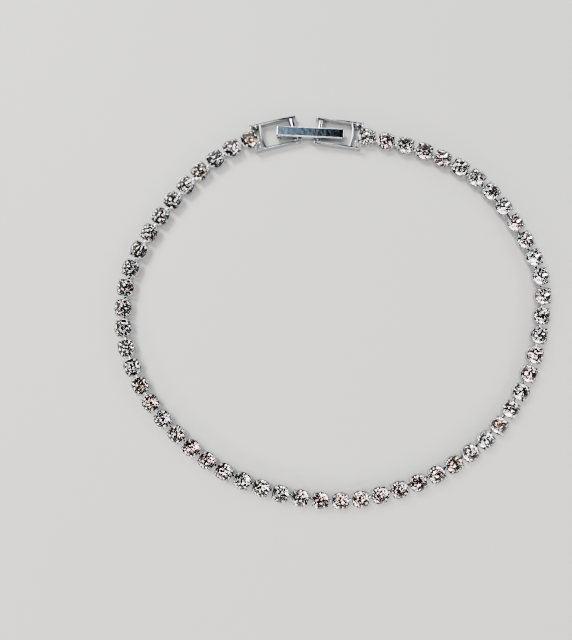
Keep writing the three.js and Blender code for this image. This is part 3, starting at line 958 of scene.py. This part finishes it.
class BRACELET_OT_stage(bpy.types.Operator):
    """Makes the floor, the lights, the surroundings and the camera"""

    bl_idname = "bracelet.stage"
    bl_label = "Stage"

    def execute(self, context):
        """A ring of low soft boxes gives the metal bright edges, and smaller, higher
        ones give the stones their sparkle. The lid mirrors dim bluish panels in
        front and behind. A sun as broad as a window lights the far floor."""
        half, reach = 1.5, 0.26
        corners = half * np.array([(-1, -1, 0), (1, -1, 0), (1, 1, 0), (-1, 1, 0)])
        make_object("floor", Shape(corners, [(0, 1, 2, 3)]), (pale_board,), 0)
        world = context.scene.world or bpy.data.worlds.new("studio")
        context.scene.world = world
        world.use_nodes = True
        tree = world.node_tree
        background = tree.nodes["Background"]
        background.inputs["Color"].default_value = (*linear("#E6E4E1"), 1)
        coords = add(tree, "ShaderNodeTexCoord")
        height = add(tree, "ShaderNodeSeparateXYZ", links={"Vector": coords.outputs["Generated"]})
        glow = add(tree, "ShaderNodeMapRange", {"From Max": 0.3, "To Min": 0.22, "To Max": 0.025},
                   {"Value": height.outputs["Z"]}, interpolation_type="SMOOTHSTEP")
        tree.links.new(glow.outputs["Result"], background.inputs["Strength"])
        context.scene.view_settings.look = "AgX - Medium High Contrast"
        # Name, azimuth, elevation, width, height, power and colour
        boxes = (
            ("key_box", 132, 44, 0.105, 0.105, 0.5, "#FFFFFF"),
            ("low_left_box", 215, 24, 0.11, 0.055, 0.24, "#FFFFFF"),
            ("low_front_box", 275, 25, 0.09, 0.05, 0.16, "#FFF9F2"),
            ("low_right_box", 335, 26, 0.09, 0.05, 0.18, "#FFFFFF"),
            ("right_back_box", 30, 28, 0.08, 0.05, 0.15, "#F3F7FF"),
            ("tall_back_box", 85, 34, 0.0375, 0.135, 0.12, "#F3F7FF"),
            ("high_left_box", 195, 55, 0.062, 0.062, 0.155, "#FFFFFF"),
            ("high_front_box", 290, 52, 0.047, 0.047, 0.08, "#FFFFFF"),
            ("high_right_box", 355, 44, 0.047, 0.047, 0.09, "#FFFFFF"),
            ("top_box", 0, 90, 0.045, 0.045, 0.07, "#FFFFFF"),
            ("wide_front_panel", 267, 45, 0.14, 0.11, 0.018, "#F3F7FF"),
        )
        for name, azimuth, elevation, width, height, power, code in boxes:
            turn, rise = math.radians(azimuth), math.radians(elevation)
            place = (reach * math.cos(turn) * math.cos(rise), reach * math.sin(turn) * math.cos(rise),
                     reach * math.sin(rise))
            self.light(name, place, (0, 0, 0), (width, height), power, code)
        lid_at, back, up, height = (-0.01, 0.0256, 0.0016), 0.1, 0.186, 0.04
        # Name, place across, width, power and colour
        panels = (
            ("lid_panel", -0.0205, 0.045, 0.004, "#B4CFE6"),
            ("lid_strip", 0.0075, 0.005, 0.00045, "#C2D6E4"),
            ("lid_thin_strip", 0.0135, 0.003, 0.00018, "#CBD8E0"),
            ("lid_glow", -0.022, 0.026, 0.0013, "#B8D3EC"),
        )
        for name, across, width, power, code in panels:
            self.light(name, (across, back, up), lid_at, (width, height), power, code)
        self.light("wide_sun", (-0.4, 0.4, 0.8), (0, 0, 0), None, 1.0, "#FFFFFF")
        self.camera(context)
        return {"FINISHED"}

    def light(self, name, place, target, size, power, code):
        """A rectangular soft box that faces its target, or without a size a sun."""
        data = bpy.data.lights.new(name, "AREA" if size else "SUN")
        if size:
            data.shape = "RECTANGLE"
            data.size, data.size_y = size
        else:
            data.angle = math.radians(20)
        data.energy = power
        data.color = linear(code)
        lamp = bpy.data.objects.new(name, data)
        bpy.context.scene.collection.objects.link(lamp)
        lamp.location = place
        away = Vector(place) - Vector(target)
        lamp.rotation_mode = "QUATERNION"
        lamp.rotation_quaternion = away.to_track_quat("Z", "Y")

    def camera(self, context):
        """Over the loop's middle, tipped a little back and to the side. Its focal
        length is given in pixels of the picture."""
        focal_pixels = 500
        data = bpy.data.cameras.new("photo_camera")
        data.sensor_width = 36
        data.lens = focal_pixels / IMAGE_HEIGHT * data.sensor_width
        data.clip_start = MM
        data.clip_end = 10
        lens = bpy.data.objects.new("photo_camera", data)
        context.scene.collection.objects.link(lens)
        lens.location = (-8.308 * MM, -3.34 * MM, 73.365 * MM)
        lens.rotation_euler = (math.radians(1.5), math.radians(-1), 0)
        context.scene.camera = lens


OPERATORS = (BRACELET_OT_stones, BRACELET_OT_cups, BRACELET_OT_links, BRACELET_OT_frames,
             BRACELET_OT_leaf, BRACELET_OT_lid, BRACELET_OT_stage)


class BRACELET_PT_panel(bpy.types.Panel):
    """Lists the bracelet's pieces and its sizes"""

    bl_idname = "BRACELET_PT_panel"
    bl_label = "Tennis bracelet"
    bl_space_type = "VIEW_3D"
    bl_region_type = "UI"
    bl_category = "Bracelet"

    def draw(self, context):
        """A button for each piece, then the sizes and colours."""
        for operator in OPERATORS:
            self.layout.operator(operator.bl_idname)
        for name in GROUPS:
            group = getattr(context.scene, name)
            box = self.layout.box()
            for key in group.__annotations__:
                box.prop(group, key)


GROUPS = {"bracelet_chain": BraceletChain, "bracelet_clasp": BraceletClasp,
          "bracelet_finish": BraceletFinish}


def register():
    """Registers the sizes, the operators and the panel."""
    for name, group in GROUPS.items():
        bpy.utils.register_class(group)
        setattr(bpy.types.Scene, name, bpy.props.PointerProperty(type=group))
    for kind in (*OPERATORS, BRACELET_PT_panel):
        bpy.utils.register_class(kind)


def unregister():
    """Takes out what register put in."""
    for kind in (BRACELET_PT_panel, *reversed(OPERATORS)):
        bpy.utils.unregister_class(kind)
    for name, group in GROUPS.items():
        delattr(bpy.types.Scene, name)
        bpy.utils.unregister_class(group)


def main():
    """Makes every piece."""
    register()
    bpy.ops.bracelet.stage()
    bpy.ops.bracelet.stones()
    bpy.ops.bracelet.cups()
    bpy.ops.bracelet.links()
    bpy.ops.bracelet.frames()
    bpy.ops.bracelet.leaf()
    bpy.ops.bracelet.lid()


if __name__ == "__main__":
    main()
